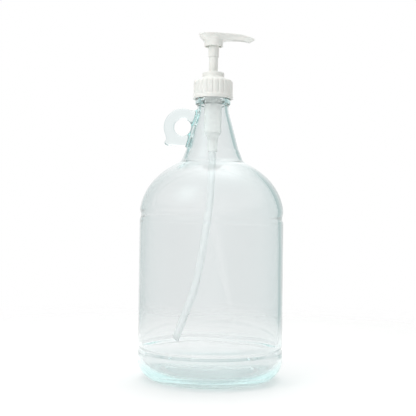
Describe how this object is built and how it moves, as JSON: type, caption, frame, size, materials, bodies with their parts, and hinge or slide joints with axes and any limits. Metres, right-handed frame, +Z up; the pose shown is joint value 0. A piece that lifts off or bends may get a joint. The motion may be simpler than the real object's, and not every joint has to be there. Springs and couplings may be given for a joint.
{
  "type": "soap pump dispenser",
  "caption": "Clear glass jug with a finger ring on its neck, closed by a white ribbed cap with a lock-down soap pump, long spout and dip tube.",
  "frame": {"origin": "centre of the jug's base, on the plane of the bearing ring it stands on", "axes": "+Z up along the axis of the jug and pump, +X the way the spout points at rest, the finger ring is on the -X side"},
  "size_m": [0.158, 0.158, 0.379],
  "materials": {
    "jug_glass": "clear soda-lime glass with a faint green tint at the edges",
    "white_plastic": "satin moulded white polypropylene",
    "housing_plastic": "milky moulded polypropylene",
    "tube_plastic": "translucent extruded polyethylene",
    "soft_plastic": "natural low-density polyethylene",
    "foam_gasket": "closed-cell polyethylene foam",
    "valve_glass": "polished glass ball",
    "spring_steel": "drawn stainless spring wire"
  },
  "bodies": {
    "jug": {"glass_jug": "jug_glass"},
    "pump_body": {"pump_housing": "housing_plastic", "lock_collar": "white_plastic", "neck_gasket": "foam_gasket", "dip_tube": "tube_plastic", "ball_retainer": "soft_plastic", "return_spring": "spring_steel"},
    "cap": {"closure_cap": "white_plastic"},
    "plunger": {"piston_stem": "white_plastic", "piston_seat": "soft_plastic"},
    "head": {"actuator_head": "white_plastic"},
    "slip_piston": {"piston": "soft_plastic"},
    "inlet_valve": {"inlet_ball": "valve_glass"}
  },
  "joints": [
    {"name": "pump_lift", "type": "slide", "parent": "jug", "child": "pump_body", "axis": [0, 0, 1], "range_m": [0, 0.0043]},
    {"name": "cap_turn", "type": "hinge", "parent": "pump_body", "child": "cap", "pos_m": [0, 0, 0.317], "axis": [0, 0, 1], "range_deg": [0, 360]},
    {"name": "pump_stroke", "type": "slide", "parent": "pump_body", "child": "plunger", "axis": [0, 0, -1], "range_m": [0, 0.0335], "stiffness_N_per_m": 350, "springref_m": -0.014, "deforming": ["return_spring"]},
    {"name": "head_swivel", "type": "hinge", "parent": "plunger", "child": "head", "pos_m": [0, 0, 0.37], "axis": [0, 0, 1], "continuous": true},
    {"name": "piston_slip", "type": "slide", "parent": "plunger", "child": "slip_piston", "axis": [0, 0, 1], "range_m": [0, 0.0013]},
    {"name": "inlet_ball_lift", "type": "slide", "parent": "pump_body", "child": "inlet_valve", "axis": [0, 0, 1], "range_m": [0, 0.0012]}
  ],
  "couplings": [
    {"joint": "pump_lift", "follows": "cap_turn", "m_per_rad": 0.0006737}
  ]
}
